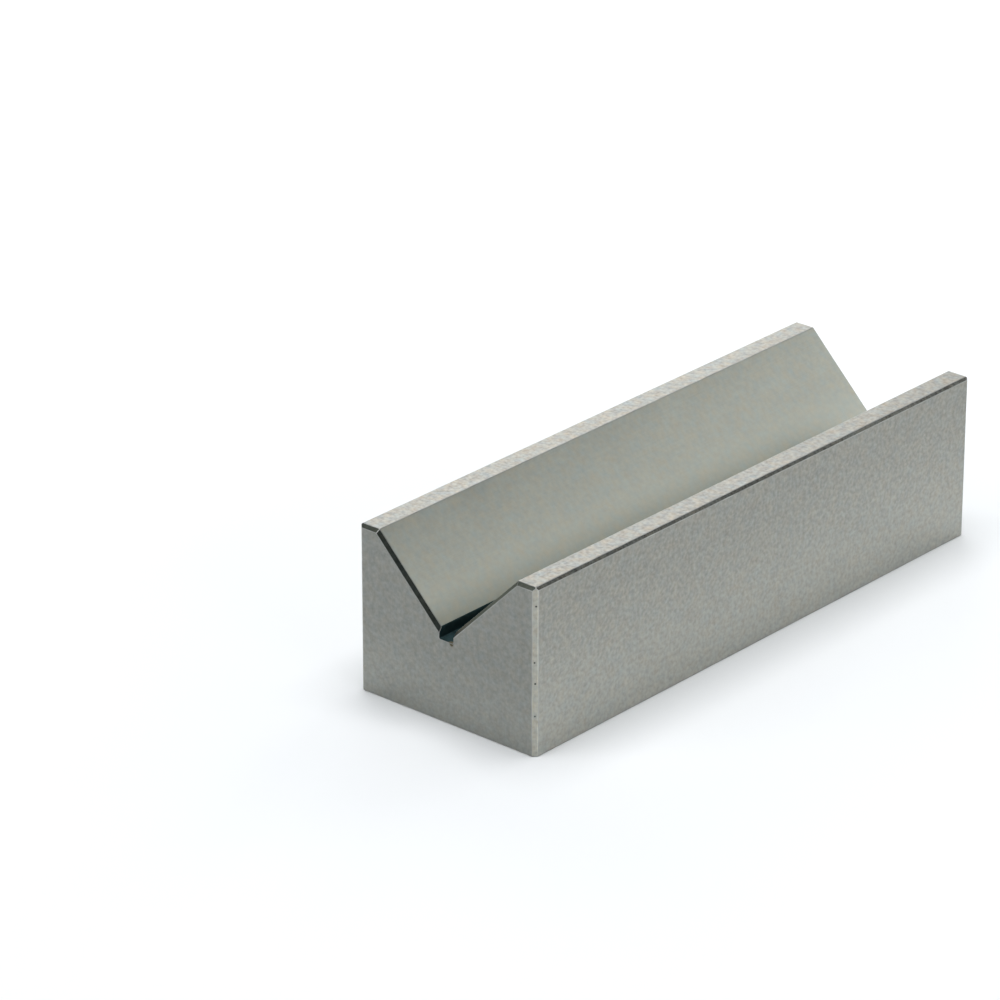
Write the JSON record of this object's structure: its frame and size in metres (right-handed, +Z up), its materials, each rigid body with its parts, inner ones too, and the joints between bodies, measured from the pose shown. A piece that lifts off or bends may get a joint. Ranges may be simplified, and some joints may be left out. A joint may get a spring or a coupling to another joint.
{
  "type": "v block",
  "caption": "Long ground steel V block with a full-length 90 degree V, a narrow relief slot at its root, flat lands on top and broken edges.",
  "frame": {"origin": "centre of the flat base, on the surface that the block stands on", "axes": "+X across the block, +Y along the V, +Z up, out of the open V"},
  "size_m": [0.05, 0.15, 0.0393],
  "materials": {
    "ground_steel": "hardened tool steel, ground on all faces, with darker broken edges"
  },
  "bodies": {
    "root": {"v_block": "ground_steel"}
  },
  "joints": []
}
